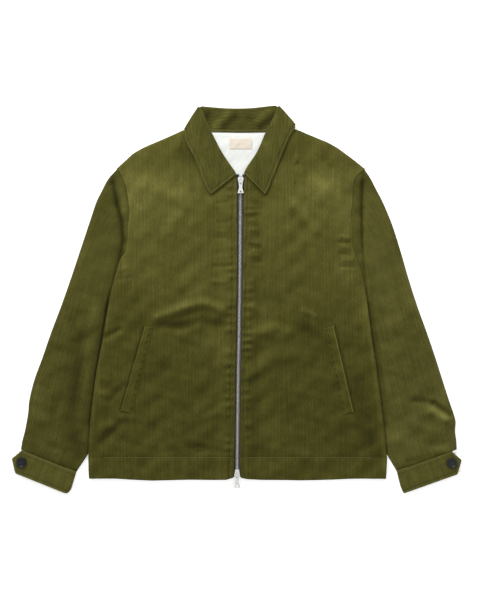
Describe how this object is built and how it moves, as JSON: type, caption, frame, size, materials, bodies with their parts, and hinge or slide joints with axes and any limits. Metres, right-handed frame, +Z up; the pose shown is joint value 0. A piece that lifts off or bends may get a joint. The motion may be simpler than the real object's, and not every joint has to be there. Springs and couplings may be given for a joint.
{
  "type": "corduroy jacket",
  "caption": "Corduroy zip jacket with point collar, buttoned cuffs and slanted welt pockets, laid flat on its back with the front closed.",
  "frame": {"origin": "middle of the jacket's underside: the centre of its outline at the floor", "axes": "+Y towards the neck, +Z up out of the front, so the wearer's left is at +X"},
  "size_m": [0.8546, 0.7362, 0.0121],
  "materials": {
    "corduroy": "matt corduroy pile",
    "collar_corduroy": "matt corduroy pile, wales across the stand",
    "lining_cotton": "plain woven cotton",
    "woven_label": "woven, bare",
    "zip_tape": "woven polyester",
    "zip_teeth": "pale metal, satin",
    "zip_metal": "polished",
    "dark_button": "polished, semi-gloss"
  },
  "bodies": {
    "garment": {"back": "corduroy", "front_right": "corduroy", "front_left": "corduroy", "sleeve_right": "corduroy", "sleeve_left": "corduroy", "cuff_right": "corduroy", "cuff_left": "corduroy", "button_right": "dark_button", "button_left": "dark_button", "collar": "collar_corduroy", "lining_back": "lining_cotton", "neck_label": "woven_label", "welt_right": "corduroy", "welt_left": "corduroy", "zip_tape_right": "zip_tape", "zip_tape_left": "zip_tape", "zip_chain": "zip_teeth", "zip_slider_top": "zip_metal", "zip_slider_bottom": "zip_metal"},
    "pull_top": {"zip_pull_top": "zip_metal"},
    "pull_bottom": {"zip_pull_bottom": "zip_metal"}
  },
  "joints": [
    {"name": "top_pull_hinge", "type": "hinge", "parent": "garment", "child": "pull_top", "pos_m": [0.00751, 0.22403, 0.0095], "axis": [-1, 0, 0], "range_deg": [0, 150]},
    {"name": "bottom_pull_hinge", "type": "hinge", "parent": "garment", "child": "pull_bottom", "pos_m": [0.00081, -0.33377, 0.0095], "axis": [-1, 0, 0], "range_deg": [0, 150]}
  ]
}
